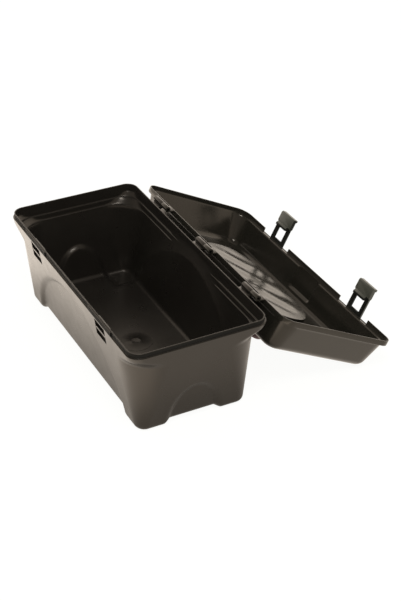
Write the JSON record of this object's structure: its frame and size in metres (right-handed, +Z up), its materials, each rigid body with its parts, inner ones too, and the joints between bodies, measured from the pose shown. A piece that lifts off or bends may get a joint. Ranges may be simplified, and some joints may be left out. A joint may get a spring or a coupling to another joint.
{
  "type": "tool case",
  "caption": "Open plastic tool case with a pin-hinged lid, a fold-down carry handle and over-centre front latches.",
  "frame": {"origin": "centre of the open case's footprint, tub and opened lid together, on the ground that the feet stand on", "axes": "+X along the tub's length, +Y from the tub's latch side towards its hinges and the opened lid, +Z up"},
  "size_m": [0.4, 0.4078, 0.136],
  "materials": {
    "case_plastic": "satin, fine moulded grain",
    "lid_plastic": "satin, fine moulded grain",
    "latch_plastic": "satin",
    "handle_plastic": "semi-gloss",
    "pin_steel": "drawn wire"
  },
  "bodies": {
    "case": {"case_body": "case_plastic", "hinge_pin_left": "pin_steel", "hinge_pin_middle": "pin_steel", "hinge_pin_right": "pin_steel"},
    "lid": {"lid_shell": "lid_plastic"},
    "handle": {"carry_handle": "handle_plastic"},
    "left_latch": {"latch_left": "latch_plastic"},
    "right_latch": {"latch_right": "latch_plastic"}
  },
  "joints": [
    {"name": "lid_hinge", "type": "hinge", "parent": "case", "child": "lid", "pos_m": [0, -0.00079, 0.1313], "axis": [1, 0, 0], "range_deg": [0, 207.08]},
    {"name": "handle_swing", "type": "hinge", "parent": "lid", "child": "handle", "pos_m": [0, 0.04987, 0.05664], "axis": [1, 0, 0], "range_deg": [-63, 62.9]},
    {"name": "left_latch_swing", "type": "hinge", "parent": "lid", "child": "left_latch", "pos_m": [-0.105, 0.17708, 0.0291], "axis": [-1, 0, 0], "range_deg": [0, 100]},
    {"name": "right_latch_swing", "type": "hinge", "parent": "lid", "child": "right_latch", "pos_m": [0.105, 0.17708, 0.0291], "axis": [-1, 0, 0], "range_deg": [0, 100]}
  ]
}
